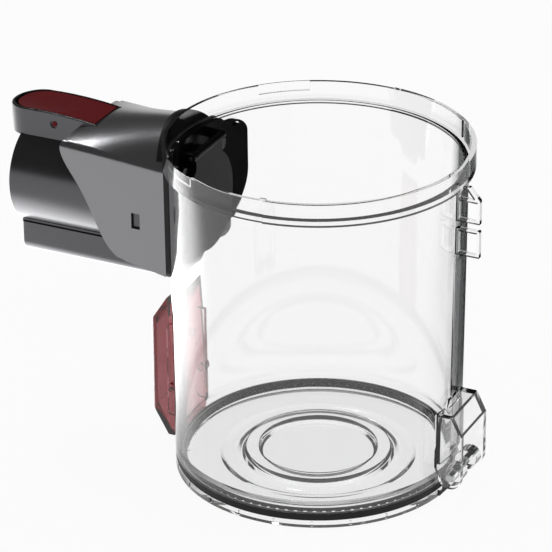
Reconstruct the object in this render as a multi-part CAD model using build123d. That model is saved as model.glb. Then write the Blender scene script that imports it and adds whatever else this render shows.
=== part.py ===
from build123d import *
import math
import os

# Clear dust bin of a stick vacuum cleaner, with its inlet pipe, wand release button,
# base catch and swinging base. Millimetres, +Z up, origin on the bin's axis in the
# plane it stands on. The inlet and the catch are on -X, the base hinge is on +X.

# Bin wall and rim band
BIN_R = 56.0              # outer radius of the wall in the base plane
BIN_WALL = 2.0
BIN_DRAFT = 0.4           # degrees, wider at the top
BIN_TOP = 135.6
WALL_Z = 6.0              # lower edge of the wall
LIP_H = 3.0               # thinner lip of the wall round the seal
LIP_EASE = 2.0            # slope above the lip
LIP_STEP = 0.8
BAND_GROW = 2.7           # how far the rim band stands out from the wall
BAND_H = 8.75
BAND_T = 2.0
BAND_FLOOR = 1.8          # thickness under the ledge that seats the cyclone
BAND_SLIM = 0.6           # the band is thinner on the inlet side
BAND_SLIM_FROM = 85.0     # degrees from +X
RECESS_AT = 128.5         # bayonet recesses in the mouth, degrees from +X
RECESS_SPAN = 20.5
RECESS_H = 3.7
RECESS_DEPTH = 0.9
GROOVE_AT = 42.0          # index groove in the mouth
GROOVE_W = 3.0
NUB_W = 2.4               # index nub on the rim where the slim part ends
NUB_H = 0.7
EDGE = 0.5                # small rounding of moulded edges

# Wand port and the tunnel for its plug
PORT_DROP = 33.7          # port axis below the bin's top
PORT_LENGTH = 67.3        # mouth of the port from the wall
PORT_BORE_R = 18.0
PORT_WALL = 3.1
PORT_DEPTH = 41.0
STOP_H = 1.4              # ring that stops the wand
SEAL_GROOVE = 0.6         # groove that holds the port's seal, outside the bore
TUNNEL_HALF = 12.2
TUNNEL_H = 10.3           # below the port
TUNNEL_WALL = 1.8
TUNNEL_CORNER = 4.2
TUNNEL_NOSE = 1.0         # rounding of its front edges
TUNNEL_REBATE = 0.8       # groove along the tunnel, under the port
TUNNEL_REBATE_H = 1.6

# Saddle joint of pipe and bin
SEAT_GAP = 0.1            # between pieces clamped together on curved faces
GASKET_T = 1.8
SADDLE_T = 2.5
FLANGE_T = 1.8
FLANGE_W = 10.3           # round the sleeve
FLANGE_LIFT = 3.4         # centre of its round foot above the port's axis
FLANGE_CORNER = 6.0
SLEEVE_STEP = 1.0         # sleeve over the wand's bore
SLEEVE_WALL = 1.8
SLEEVE_LENGTH = 18.0      # outside the wall
SCREW_ASIDE = 16.0        # each side of the inlet's axis
SCREW_CLEAR = 0.4         # screw heads from the flap's seat
SCREW_R = 1.3
SCREW_HEAD_R = 2.4
SCREW_HEAD_H = 1.5
SCREW_BITE = 5.0          # thread length in the saddle boss
BOSS_WALL = 1.3

# Cowl over the joint, with heights from the top of the port and lengths from the wall
COWL_SIDE = 2.9           # outside the port
COWL_WALL = 2.0
COWL_CREASE = 3.4         # rounding between flat side and arch
COWL_LIP = 2.2            # stepped lip along the swept front edge
COWL_LIP_DEPTH = 0.5
COWL_FRONT = 44.0         # stations of the arch
COWL_BACK = -10.0
COWL_FRONT_TOP = 5.5
COWL_BACK_TOP = 13.2
COWL_FRONT_EAVE = 3.5
COWL_BACK_EAVE = -2.7
COWL_EDGE_DROP = 2.8      # lower edge at the wall, below the port
COWL_EDGE_SLOPE = 0.188
COWL_HEEL = 17.0          # swept front edge: heel, two points of the sweep, nose, peak
COWL_SWEEP_LOW = (25.9, -31.9)
COWL_SWEEP_HIGH = (35.3, -13.2)
COWL_NOSE = (42.0, 3.0)
COWL_PEAK = (33.0, 8.5)
COWL_HEEL_WAY = (-1.0, 0.45)   # directions of the sweep at its ends
COWL_PEAK_WAY = (1.0, 0.2)
WINDOW_OUT = 10.0         # snap window
WINDOW_DROP = 2.9         # below the port's axis
WINDOW_W = 3.7
WINDOW_H = 6.5
WINDOW_GAP = 0.4          # round the tab in it
TAB_SET = 1.2             # tab below the cowl's face

# Wand release button in its frame, with heights from the top of the port
FRAME_HALF = 10.5
FRAME_LENGTH = 34.0       # behind the port's mouth
NOSE_LENGTH = 7.7         # ahead of the port's mouth
FRAME_SINK = 3.4
FRAME_RISE = 8.2
FRAME_WALL = 1.0
FRAME_FLOOR_T = 0.6
NOSE_WALL = 1.4
NOSE_GAP = 1.4
BUTTON_GAP = 0.3
BUTTON_BACK_GAP = 0.7
BUTTON_SET = 0.2          # below the frame's top
BUTTON_T = 2.4
BUTTON_DISH = 0.5
CROWN_R = 174.0           # lengthwise crown of frame and button
CROWN_BACK = 8.3          # its crest, behind the port's mouth
PIVOT_BACK = 15.3         # behind the port's mouth
PIVOT_DROP = 4.7          # below the frame's top
PIVOT_R = 1.1
PIVOT_HUB_R = 2.3
PIVOT_EYE = 0.6           # wider mouth of the axle hole
PIVOT_EYE_DEPTH = 0.5
HOOK_HALF = 3.6
HOOK_T = 2.4
HOOK_CLEAR = 0.7          # hook above the wand's own radius
BUTTON_SPRING_IN = 5.0    # ahead of the button's back edge

# Inlet flap
FLAP_SEAT_RISE = 0.8      # flat seat proud of the flange
FLAP_RIM = 1.6            # overlap of the flap on its seat
FLAP_T = 1.6
FLAP_HINGE_UP = 1.8       # pin above the seat
FLAP_HINGE_HALF = 11.0
FLAP_EAR_T = 2.0
FLAP_PIN_R = 0.8
FLAP_KNUCKLE_R = 1.7

# Base with its seal
BASE_FLOOR = 4.2
BASE_T = 2.2
RIM_H = 3.0
RIM_W = 3.4
RING_IN = 22.6
RING_OUT = 29.1
RING_RISE = 2.0
RING_FLANK = 0.8
SWELL_IN = 30.4           # soft swell under the floor
SWELL_OUT = 38.4
SWELL_DROP = 0.8
TICKS = 24
TICK_W = 0.8
TICK_DEPTH = 0.4
SEAL_W = 4.2
SEAL_LIP = 0.9
SEAL_WEB = 0.8
SEAL_WALL = 2.2
SEAL_GAP = 0.25           # under the wall's lower edge
SEAL_LIP_RISE = 0.8       # inner lip over the outer wall
SEAL_WINDOWS = 92
SEAL_WINDOW_W = 1.4
SEAL_WINDOW_H = 1.0
SEAL_WINDOW_DROP = 0.9    # below the lip's edge

# Base hinge, with heights from its pin
HINGE_OUT = 5.0           # pin outside the wall
HINGE_UP = 4.7            # pin above the wall's lower edge
HINGE_PIN_R = 1.5
PIN_FIT = 0.06
KNUCKLE_CLEAR = 1.0
KNUCKLE_HALF = 9.7
LUG_APART = 7.6           # between the knuckle's two lugs
EAR_T = 2.5
EAR_GAP = 0.3
EAR_R = 4.6
EAR_SHOULDER = 18.4
EAR_TOP = 26.4
EAR_SLANT = 4.0
HOOD_T = 1.6              # hood that joins the ears above the knuckle
PAD_T = 1.2               # raised pad on the wall between the ears
PAD_TOP = 29.0

# Catch opposite the hinge, with lengths from the wall
CATCH_HALF = 12.0
CATCH_FACE = 10.7
CATCH_BACK = 1.2
CATCH_TIP = 3.6
CATCH_CLEAR = 8.0         # tip below the tunnel
CATCH_SLOPE_H = 11.1      # height of the sloping top
CATCH_CHIN_Z = 13.6
CATCH_FOOT = 4.0
CATCH_LOW = 2.0
CATCH_WALL = 1.8
CATCH_ROUND = 1.4         # rounding of its face edges
CATCH_PIVOT = 2.0
CATCH_PIVOT_Z = 23.5
CATCH_PIVOT_R = 1.7
CATCH_HUB_R = 2.4
CATCH_AXLE_TIP = 0.9      # stub axle outside the catch's side
CATCH_RELIEF = 9.2        # straight back above the axle
CATCH_HOOK = 1.3
CATCH_HOOK_H = 1.8
CATCH_LIP = 2.4           # lip of the base over the hook
CATCH_LIP_HALF = 9.0
CATCH_LIP_GAP = 0.3
RAIL_T = 1.8              # rails on the wall, inside the catch
RAIL_GAP = 0.4
RAIL_OUT = 4.8
RAIL_LOW = 10.0
RAIL_DROP = 1.6           # below the catch's sloping top
CATCH_SPRING_DROP = 8.4   # below the catch's sloping top

# Keeper loops under the band
KEEPER_HALF = 1.0
KEEPER_OUT = 10.4
KEEPER_DROP = 3.65        # below the band
KEEPER_UPPER_H = 9.6
KEEPER_LOWER_H = 11.0
KEEPER_GAP = 2.8
KEEPER_WALL = 1.2
KEEPER_ROOF = 2.8

# Springs and the plug socket
SPRING_WIRE_R = 0.3
SPRING_R = 1.9
SPRING_TURNS = 4
SOCKET_LENGTH = 13.0
SOCKET_SET_BACK = 1.8
SOCKET_WALL = 1.6
SOCKET_FIT = 0.15
PIN_R = 0.9
PIN_SPACING = 8.0
PIN_REACH = 6.5


def wall_r(z):
    """Outer radius of the drafted bin wall at a height."""
    return BIN_R + z * math.tan(math.radians(BIN_DRAFT))


# Values that follow from the sizes above
FAR = 4 * BIN_TOP
BAND_Z = BIN_TOP - BAND_H
LEDGE_Z = BAND_Z + BAND_FLOOR
BAND_R = wall_r(BAND_Z) + BAND_GROW
MOUTH_R = BAND_R - BAND_T
PORT_Z = BIN_TOP - PORT_DROP
PORT_R = PORT_BORE_R + PORT_WALL
PORT_TOP = PORT_Z + PORT_R
PORT_REACH = BIN_R + PORT_LENGTH
TUNNEL_Z = PORT_Z - PORT_R - TUNNEL_H
SLEEVE_R = PORT_BORE_R + SLEEVE_STEP
SLEEVE_REACH = BIN_R + SLEEVE_LENGTH
OPENING_R = SLEEVE_R + 3 * SEAT_GAP
SADDLE_OFF = GASKET_T + SEAT_GAP
COWL_HALF = PORT_R + COWL_SIDE
FRAME_NOSE = PORT_REACH + NOSE_LENGTH
FRAME_BACK = PORT_REACH - FRAME_LENGTH
FRAME_LOW = PORT_TOP - FRAME_SINK
FRAME_TOP = PORT_TOP + FRAME_RISE
FRAME_FLOOR = PORT_TOP + FRAME_FLOOR_T
BUTTON_FRONT = FRAME_NOSE - NOSE_WALL - NOSE_GAP
BUTTON_BACK = FRAME_BACK + FRAME_WALL + BUTTON_BACK_GAP
BUTTON_TOP = FRAME_TOP - BUTTON_SET
CROWN_X = PORT_REACH - CROWN_BACK
PIVOT_X = PORT_REACH - PIVOT_BACK
PIVOT_Z = FRAME_TOP - PIVOT_DROP
FLAP_SEAT_R = SLEEVE_R + FLAP_RIM
FLANGE_IN = wall_r(PORT_Z) - BIN_WALL - SEAT_GAP - FLANGE_T
FLAP_SEAT = math.sqrt(FLANGE_IN**2 - FLAP_SEAT_R**2) - FLAP_SEAT_RISE
FLAP_PIN_X = -FLAP_SEAT + FLAP_T / 2
FLAP_PIN_Z = PORT_Z + FLAP_SEAT_R + FLAP_HINGE_UP
HINGE_X = BIN_R + HINGE_OUT
HINGE_Z = WALL_Z + HINGE_UP
KNUCKLE_R = HINGE_OUT - KNUCKLE_CLEAR
EAR_IN = KNUCKLE_HALF + EAR_GAP
EAR_OUT = EAR_IN + EAR_T
SEAL_TOP = WALL_Z - SEAL_GAP
CATCH_TIP_Z = TUNNEL_Z - CATCH_CLEAR
CATCH_BROW_Z = CATCH_TIP_Z - CATCH_SLOPE_H
RAIL_TOP = CATCH_BROW_Z - RAIL_DROP
CATCH_SPRING_Z = CATCH_BROW_Z - CATCH_SPRING_DROP
CATCH_PIVOT_X = -(BIN_R + CATCH_PIVOT)
RAIL_OUTSIDE = CATCH_HALF - CATCH_WALL - RAIL_GAP
RAIL_INSIDE = RAIL_OUTSIDE - RAIL_T
CATCH_LIP_X = -(BIN_R + CATCH_LIP)


def turned(points):
    """Solid of revolution from (radius, height) points."""
    return revolve(Plane.XZ * make_face(Polyline(*points, close=True)), Axis.Z)


def ring_part(r0, r1, z0, z1, middle, span):
    """Annular sector about the bin's axis, centred on an angle."""
    section = Plane.XZ * Pos((r0 + r1) / 2, (z0 + z1) / 2) * Rectangle(r1 - r0, z1 - z0)
    return Rot(0, 0, middle - span / 2) * revolve(section, Axis.Z, span)


def slab(face, y0, y1):
    """Side-view outline (X, Z) made solid between two Y planes."""
    return Pos(0, y1, 0) * extrude(Plane.XZ * face, y1 - y0)


def bar(face, x0, x1):
    """Front-view outline (Y, Z) made solid between two X planes."""
    return extrude(Plane.YZ.offset(x0) * face, x1 - x0)


def block(x0, x1, y0, y1, z0, z1):
    return Pos((x0 + x1) / 2, (y0 + y1) / 2, (z0 + z1) / 2) * Box(x1 - x0, y1 - y0, z1 - z0)


def rod_x(r, x0, x1, y, z):
    return Pos((x0 + x1) / 2, y, z) * Rot(0, 90, 0) * Cylinder(r, x1 - x0)


def rod_y(r, y0, y1, x, z):
    return Pos(x, (y0 + y1) / 2, z) * Rot(90, 0, 0) * Cylinder(r, y1 - y0)


def bin_outside(grow):
    """The bin's outer form, filled and grown, for trimming what seats on it."""
    step = BAND_Z - grow
    return turned([
        (0, -FAR / 10), (wall_r(-FAR / 10) + grow, -FAR / 10), (wall_r(step) + grow, step),
        (BAND_R + grow, step), (BAND_R + grow, FAR), (0, FAR),
    ])


def bin_inside(shrink):
    """The space inside the wall, shrunk, below the ledge."""
    r_low = wall_r(0) - BIN_WALL - shrink
    r_top = wall_r(LEDGE_Z) - BIN_WALL - shrink
    return turned([(0, 0), (r_low, 0), (r_top, LEDGE_Z), (0, LEDGE_Z)])


def mirrored(shape):
    """The shape and its mirror image across the bin's middle plane."""
    return shape + mirror(shape, Plane.XZ)


def coil(length):
    """Compression spring standing on the XY plane, its thin wire drawn square."""
    rise = length - 2 * SPRING_WIRE_R
    path = Helix(rise / SPRING_TURNS, rise, SPRING_R)
    section = Plane(path @ 0, z_dir=path % 0) * RegularPolygon(SPRING_WIRE_R, 4)
    wire = sweep(section, path, is_frenet=True)
    return Pos(0, 0, SPRING_WIRE_R) * wire


def screw_places():
    """Y and Z of each flange screw."""
    out = FLAP_SEAT_R + SCREW_CLEAR + SCREW_HEAD_R
    rise = math.sqrt(out**2 - SCREW_ASIDE**2)
    return [(side * SCREW_ASIDE, PORT_Z + lift) for side in (-1, 1) for lift in (-rise, rise)]


def screw_seat(z):
    """Distance from the bin's middle to the flat pad under a screw head."""
    inner = wall_r(z) - BIN_WALL - SEAT_GAP - FLANGE_T
    return math.sqrt(inner**2 - (SCREW_ASIDE + SCREW_HEAD_R) ** 2)


def screw_tip(z):
    """Distance from the bin's middle to the end of a screw in its boss."""
    return math.sqrt((wall_r(z) + SADDLE_OFF) ** 2 - SCREW_ASIDE**2) + SCREW_BITE


def bin_wall():
    """Cup wall with the lip at its foot and the stepped band at its mouth."""
    lip_z = WALL_Z + LIP_H
    ease_z = lip_z + LIP_EASE
    lip_r = wall_r(WALL_Z) - BIN_WALL + LIP_STEP
    wall = turned([
        (lip_r, WALL_Z), (wall_r(WALL_Z), WALL_Z), (wall_r(BAND_Z), BAND_Z), (BAND_R, BAND_Z),
        (BAND_R, BIN_TOP), (MOUTH_R, BIN_TOP), (MOUTH_R, LEDGE_Z), (wall_r(LEDGE_Z) - BIN_WALL, LEDGE_Z),
        (wall_r(ease_z) - BIN_WALL, ease_z), (lip_r, lip_z),
    ])
    slim_r = BAND_R - BAND_SLIM
    over = BIN_TOP + 1
    wall -= ring_part(slim_r, BAND_R + 1, BAND_Z - 1, over, 180, 360 - 2 * BAND_SLIM_FROM)
    cut_r = MOUTH_R + RECESS_DEPTH
    for side in (-1, 1):
        wall -= ring_part(MOUTH_R - 1, cut_r, BIN_TOP - RECESS_H, over, side * RECESS_AT, RECESS_SPAN)
    groove_span = math.degrees(GROOVE_W / MOUTH_R)
    wall -= ring_part(MOUTH_R - 1, cut_r, LEDGE_Z, over, GROOVE_AT, groove_span)
    nub_span = math.degrees(NUB_W / MOUTH_R)
    nub_r = (MOUTH_R + EDGE / 2, slim_r - EDGE / 2)
    return wall + ring_part(*nub_r, BIN_TOP - NUB_H, BIN_TOP + NUB_H, -BAND_SLIM_FROM, nub_span)


def keeper():
    """Two thin loops under a folded roof that the cleaner's latch takes hold of."""
    root = BIN_R - BIN_WALL
    reach = BIN_R + KEEPER_OUT
    inner = wall_r(BAND_Z) + KEEPER_WALL
    top = BAND_Z - KEEPER_DROP
    ridge = BAND_R + KEEPER_ROOF
    solid = slab(make_face(Polyline(
        (root, top - KEEPER_WALL), (reach, top - KEEPER_WALL), (reach, top),
        (ridge, BAND_Z + KEEPER_WALL), (root, BAND_Z + KEEPER_WALL), close=True,
    )), -KEEPER_HALF, KEEPER_HALF)
    solid -= slab(make_face(Polyline(
        (inner, top), (reach - 2 * KEEPER_WALL, top), (ridge - KEEPER_WALL, BAND_Z), (inner, BAND_Z),
        close=True,
    )), -FAR, FAR)
    second = top - KEEPER_UPPER_H - KEEPER_GAP
    for low, high in ((top - KEEPER_UPPER_H, top), (second - KEEPER_LOWER_H, second)):
        solid += block(root, reach, -KEEPER_HALF, KEEPER_HALF, low, high)
        solid -= block(inner, reach - KEEPER_WALL, -FAR, FAR, low + KEEPER_WALL, high - KEEPER_WALL)
    return solid


def hinge_ears():
    """Pair of ears for the base hinge, with the hood between them and the pad that carries them."""
    root = BIN_R - BIN_WALL
    shoulder = HINGE_Z + EAR_SHOULDER
    ear_top = HINGE_Z + EAR_TOP
    face = HINGE_X + EAR_R
    brow = face - EAR_SLANT
    outline = make_face(Polyline(
        (HINGE_X - EAR_R, HINGE_Z), (face, HINGE_Z), (face, shoulder), (brow, ear_top), (root, ear_top),
        (root, HINGE_Z + EAR_R), close=True,
    ))
    hood = slab(make_face(Polyline(
        (root, ear_top), (brow, ear_top), (face, shoulder), (face - HOOD_T, shoulder),
        (brow - HOOD_T / 2, ear_top - HOOD_T), (root, ear_top - HOOD_T), close=True,
    )), -EAR_IN, EAR_IN)
    ear = slab(outline, EAR_IN, EAR_OUT) + rod_y(EAR_R, EAR_IN, EAR_OUT, HINGE_X, HINGE_Z)
    ear -= rod_y(HINGE_PIN_R + PIN_FIT, EAR_IN - 1, EAR_OUT + 1, HINGE_X, HINGE_Z)
    pad_low = HINGE_Z + KNUCKLE_R + EAR_GAP
    pad_top = HINGE_Z + PAD_TOP
    arch = make_face(Polyline(
        (-EAR_OUT, pad_low), (EAR_OUT, pad_low), (EAR_OUT, shoulder), (EAR_OUT / 3, pad_top),
        (-EAR_OUT / 3, pad_top), (-EAR_OUT, shoulder), close=True,
    ))
    pad = bar(arch, root / 2, HINGE_X) & bin_outside(PAD_T)
    return mirrored(ear) + hood + pad


def catch_ears():
    """Pair of rails inside the catch, with the holes for its stub axles."""
    reach = -BIN_R - RAIL_OUT
    rail = block(reach, -BIN_R / 2, RAIL_INSIDE, RAIL_OUTSIDE, RAIL_LOW, RAIL_TOP)
    rail = fillet(rail.edges().filter_by(Axis.Y).group_by(Axis.X)[0], RAIL_T)
    rail -= rod_y(CATCH_PIVOT_R + PIN_FIT, 0, FAR, CATCH_PIVOT_X, CATCH_PIVOT_Z)
    return mirrored(rail)


def bin_body():
    """Clear moulding: wall, band, keeper, hinge ears and catch ears."""
    fittings = keeper() + hinge_ears() + catch_ears()
    body = bin_wall() + (fittings - bin_inside(-BIN_WALL / 2))
    body -= rod_x(OPENING_R, -FAR, 0, 0, PORT_Z)
    for y, z in screw_places():
        body -= rod_x(SCREW_R + 2 * SEAT_GAP, -FAR, 0, y, z)
    return body


def flange_outline():
    """Rounded-bottom outline of the inner flange, in the front view."""
    half = SLEEVE_R + FLANGE_W
    centre = PORT_Z + FLANGE_LIFT
    top = BAND_Z - EDGE
    upper = Pos(0, (centre + top) / 2) * Rectangle(2 * half, top - centre)
    upper = fillet(upper.vertices().group_by(Axis.Y)[-1], FLANGE_CORNER)
    return upper + Pos(0, centre) * Circle(half)


def inlet_flange():
    """Black saddle inside the wall, with the sleeve through it and the flap's seat and ears."""
    plate = bin_inside(SEAT_GAP) - bin_inside(SEAT_GAP + FLANGE_T)
    saddle = plate & bar(flange_outline(), -FAR, -BIN_R / 2)
    for y, z in screw_places():
        saddle += rod_x(SCREW_HEAD_R, -FAR, -screw_seat(z), y, z) & bin_inside(SEAT_GAP)
        saddle -= rod_x(SCREW_R + SEAT_GAP, -FAR, 0, y, z)
    collar = rod_x(FLAP_SEAT_R, -FAR, -FLAP_SEAT, 0, PORT_Z) & bin_inside(SEAT_GAP)
    sleeve = rod_x(SLEEVE_R, -SLEEVE_REACH, -FLAP_SEAT, 0, PORT_Z)
    ear_in = FLAP_HINGE_HALF + EAR_GAP
    ear_out = ear_in + FLAP_EAR_T
    low = FLAP_PIN_Z - FLAP_KNUCKLE_R
    ear = block(-BIN_R, FLAP_PIN_X, ear_in, ear_out, low, FLAP_PIN_Z + FLAP_KNUCKLE_R)
    ear += rod_y(FLAP_KNUCKLE_R, ear_in, ear_out, FLAP_PIN_X, FLAP_PIN_Z)
    flange = saddle + collar + sleeve + (mirrored(ear) & bin_inside(SEAT_GAP))
    flange -= rod_x(SLEEVE_R - SLEEVE_WALL, -FAR, 0, 0, PORT_Z)
    return flange - rod_y(FLAP_PIN_R + PIN_FIT, -FAR, FAR, FLAP_PIN_X, FLAP_PIN_Z)


def flange_screws():
    """Pan-head screws from inside the bin into the saddle bosses."""
    screws = []
    for y, z in screw_places():
        seat = -screw_seat(z)
        shank = rod_x(SCREW_R, -screw_tip(z), seat, y, z)
        screws.append(shank + rod_x(SCREW_HEAD_R, seat, seat + SCREW_HEAD_H, y, z))
    return Compound(screws)


def inlet_flap():
    """Round flap that hangs over the mouth of the sleeve."""
    back = -FLAP_SEAT + 2 * SEAT_GAP
    face = back + FLAP_T
    half = FLAP_HINGE_HALF
    r = SLEEVE_R + FLAP_RIM / 2
    flap = rod_x(r, back, face, 0, PORT_Z)
    flap += block(back, face, -half, half, PORT_Z + r / 2, FLAP_PIN_Z)
    flap += rod_y(FLAP_KNUCKLE_R, -half, half, FLAP_PIN_X, FLAP_PIN_Z)
    return flap - rod_y(FLAP_PIN_R + PIN_FIT, -FAR, FAR, FLAP_PIN_X, FLAP_PIN_Z)


def flap_pin():
    half = FLAP_HINGE_HALF + EAR_GAP + FLAP_EAR_T
    return rod_y(FLAP_PIN_R, -half, half, FLAP_PIN_X, FLAP_PIN_Z)


def cowl_section(station, eave, top, low, inset):
    """Closed front-view section of the cowl: flat sides under a shallow arch."""
    half = COWL_HALF - inset
    eave_z = PORT_TOP + eave - inset
    arch = ThreePointArc((-half, eave_z), (0, PORT_TOP + top - inset), (half, eave_z))
    legs = Polyline((half, eave_z), (half, low), (-half, low), (-half, eave_z))
    return Plane.YZ.offset(-BIN_R - station) * make_face(arch + legs)


def cowl_edge(station):
    """Height of the cowl's lower edge at a distance from the wall."""
    return PORT_Z - PORT_R - COWL_EDGE_DROP + COWL_EDGE_SLOPE * station


def cowl_form(inset):
    """Lofted body of the cowl with rounded creases, or of its hollow when inset."""
    front_low = cowl_edge(COWL_FRONT) + inset if inset else 0
    back_low = cowl_edge(COWL_BACK) + inset if inset else 0
    form = loft([
        cowl_section(COWL_FRONT + inset, COWL_FRONT_EAVE, COWL_FRONT_TOP, front_low, inset),
        cowl_section(COWL_BACK, COWL_BACK_EAVE, COWL_BACK_TOP, back_low, inset),
    ], ruled=True)
    creases = form.edges().filter_by(lambda edge: edge.length > COWL_FRONT and edge.center().Z > PORT_Z)
    return fillet(creases, COWL_CREASE - inset)


def cowl_side():
    """Side view of the cowl: swept front edge, sloping lower edge."""
    heel = (-BIN_R - COWL_HEEL, cowl_edge(COWL_HEEL))
    stations = (COWL_SWEEP_LOW, COWL_SWEEP_HIGH, COWL_NOSE, COWL_PEAK)
    sweep = [(-BIN_R - x, PORT_TOP + z) for x, z in stations]
    front = Spline(heel, *sweep, tangents=(COWL_HEEL_WAY, COWL_PEAK_WAY))
    peak_x = sweep[-1][0]
    rest = Polyline(sweep[-1], (peak_x, FAR), (0, FAR), (0, cowl_edge(-BIN_R)), heel)
    return slab(make_face(front + rest), -FAR, FAR)


def frame_outline(grow):
    """Plan of the button frame: straight sides, round nose, square back."""
    half = FRAME_HALF + grow
    nose = FRAME_NOSE - FRAME_HALF
    back = FRAME_BACK - grow
    box = Pos(-(nose + back) / 2, 0) * Rectangle(nose - back, 2 * half)
    return box + Pos(-nose, 0) * Circle(half)


def tunnel_outline(grow):
    """Front view of the tunnel under the port."""
    half = TUNNEL_HALF + grow
    low = TUNNEL_Z - grow
    box = Pos(0, (low + PORT_Z) / 2) * Rectangle(2 * half, PORT_Z - low)
    return fillet(box.vertices().group_by(Axis.Y)[0], max(TUNNEL_CORNER + grow, EDGE))


def inlet_cowl():
    """Dark cover: arched shell trimmed to the bin, the tunnel and the button frame."""
    outside = cowl_form(0)
    side = cowl_side()
    shell = (outside & side) - cowl_form(COWL_WALL)
    shell -= (outside - cowl_form(COWL_LIP_DEPTH)) - Pos(COWL_LIP, 0, 0) * side
    shell -= bin_outside(SADDLE_OFF)
    shell -= bar(tunnel_outline(SEAT_GAP * 2), -FAR, 0)
    shell -= rod_x(PORT_R + SEAT_GAP * 2, -FAR, 0, 0, PORT_Z)
    shell -= Pos(0, 0, FRAME_LOW) * extrude(frame_outline(SEAT_GAP * 2), FAR)
    return shell - snap_block(0, FAR)


def snap_block(gap, half):
    """Block across the cowl that cuts its snap windows or makes the tabs in them."""
    middle = Pos(-BIN_R - WINDOW_OUT, 0, PORT_Z - WINDOW_DROP)
    return middle * Box(WINDOW_W - 2 * gap, 2 * half, WINDOW_H - 2 * gap)


def gasket_outline():
    """Front view of the gasket, a little larger than the cowl."""
    grow = COWL_WALL / 2
    half = COWL_HALF + grow
    low = cowl_edge(0) - grow
    eave = PORT_TOP + COWL_BACK_EAVE
    arch = ThreePointArc((-half, eave), (0, BIN_TOP), (half, eave))
    legs = Polyline((half, eave), (half, low), (-half, low), (-half, eave))
    sketch = make_face(arch + legs)
    return fillet(sketch.vertices().group_by(Axis.Y)[0], TUNNEL_CORNER)


def inlet_gasket():
    """Rubber saddle between the bin's outside and the cowl."""
    sheet = (bin_outside(GASKET_T) - bin_outside(SEAT_GAP)) & bar(gasket_outline(), -FAR, -BIN_R / 2)
    sheet -= rod_x(OPENING_R, -FAR, 0, 0, PORT_Z)
    for y, z in screw_places():
        sheet -= rod_x(SCREW_R + SEAT_GAP, -FAR, 0, y, z)
    return sheet


def inlet_tube():
    """Wand port with tunnel, button frame, saddle plate and snap tabs, one moulding."""
    mouth = -PORT_REACH
    body = rod_x(PORT_R, mouth, 0, 0, PORT_Z)
    body = fillet(body.edges().group_by(Axis.X)[0], EDGE)
    tunnel = bar(tunnel_outline(0), mouth, 0)
    body += fillet(tunnel.edges().group_by(Axis.X)[0], TUNNEL_NOSE) - tunnel_rebate()
    frame = extrude(Pos(0, 0, FRAME_LOW) * frame_outline(0), FRAME_TOP - FRAME_LOW) & crown(FRAME_TOP)
    body += fillet(frame.faces().sort_by(Axis.Z)[-1].edges(), EDGE)
    plate_top = BAND_Z - SADDLE_OFF - SEAT_GAP
    plate = cowl_form(COWL_WALL + 2 * SEAT_GAP) & block(-FAR, -BIN_R / 2, -FAR, FAR, 0, plate_top)
    body += plate & bin_outside(SADDLE_OFF + SADDLE_T)
    for y, z in screw_places():
        body += rod_x(SCREW_R + BOSS_WALL, -screw_tip(z) - BOSS_WALL, -BIN_R / 2, y, z)
    body += snap_block(WINDOW_GAP, COWL_HALF - TAB_SET)
    body -= bin_outside(SADDLE_OFF)
    body -= port_hollow() + button_pocket() + tunnel_hollow()
    for y, z in screw_places():
        body -= rod_x(SCREW_R, -screw_tip(z), 0, y, z)
    return body


def crown(top):
    """Large drum lying across the inlet, whose top is the lengthwise crown of frame and button."""
    return rod_y(CROWN_R, -FAR, FAR, -CROWN_X, top - CROWN_R)


def tunnel_rebate():
    """Groove along each side of the tunnel, just under the port."""
    top = PORT_Z - math.sqrt(PORT_R**2 - TUNNEL_HALF**2)
    inner = TUNNEL_HALF - TUNNEL_REBATE
    return mirrored(block(-FAR, -BIN_R - COWL_HEEL, inner, FAR, top - TUNNEL_REBATE_H, top))


def port_hollow():
    """Wand bore, seal groove, stop ring and the socket for the sleeve."""
    stop = -PORT_REACH + PORT_DEPTH
    hollow = rod_x(PORT_BORE_R, -FAR, stop, 0, PORT_Z)
    hollow += rod_x(PORT_BORE_R + SEAL_GROOVE, stop - STOP_H, stop, 0, PORT_Z)
    hollow += rod_x(PORT_BORE_R - STOP_H, stop - 1, 0, 0, PORT_Z)
    return hollow + rod_x(SLEEVE_R + SEAT_GAP, -SLEEVE_REACH - SEAT_GAP, 0, 0, PORT_Z)


def button_pocket():
    """Pocket of the red button, its axle holes and the slot for its hook."""
    half = FRAME_HALF - FRAME_WALL
    front = FRAME_NOSE - NOSE_WALL
    back = FRAME_BACK + FRAME_WALL
    centre = front - half
    plan = Pos(-(centre + back) / 2, 0) * Rectangle(centre - back, 2 * half) + Pos(-centre, 0) * Circle(half)
    pocket = extrude(Pos(0, 0, FRAME_FLOOR) * plan, FAR)
    slot = HOOK_HALF + 2 * BUTTON_GAP
    pocket += block(-front, -PORT_REACH - EDGE, -slot, slot, 0, FRAME_TOP)
    pocket += rod_y(PIVOT_R + PIN_FIT, -FAR, FAR, -PIVOT_X, PIVOT_Z)
    pocket += mirrored(rod_y(PIVOT_R + PIVOT_EYE, FRAME_HALF - PIVOT_EYE_DEPTH, FAR, -PIVOT_X, PIVOT_Z))
    return pocket + rod_x(PORT_BORE_R + HOOK_CLEAR, -FAR, -PORT_REACH, 0, PORT_Z)


def tunnel_hollow():
    """Space in the tunnel, open at the mouth."""
    back = -wall_r(PORT_Z) - SADDLE_OFF - SADDLE_T
    roof = PORT_Z - PORT_R - EDGE
    half = TUNNEL_HALF - TUNNEL_WALL
    return block(-FAR, back, -half, half, TUNNEL_Z + TUNNEL_WALL, roof)


def port_seal():
    """Rubber ring in its groove against the wand's stop."""
    stop = -PORT_REACH + PORT_DEPTH
    ring = rod_x(PORT_BORE_R + SEAL_GROOVE - SEAT_GAP, stop - STOP_H, stop, 0, PORT_Z)
    return ring - rod_x(PORT_BORE_R - STOP_H, -FAR, 0, 0, PORT_Z)


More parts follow.
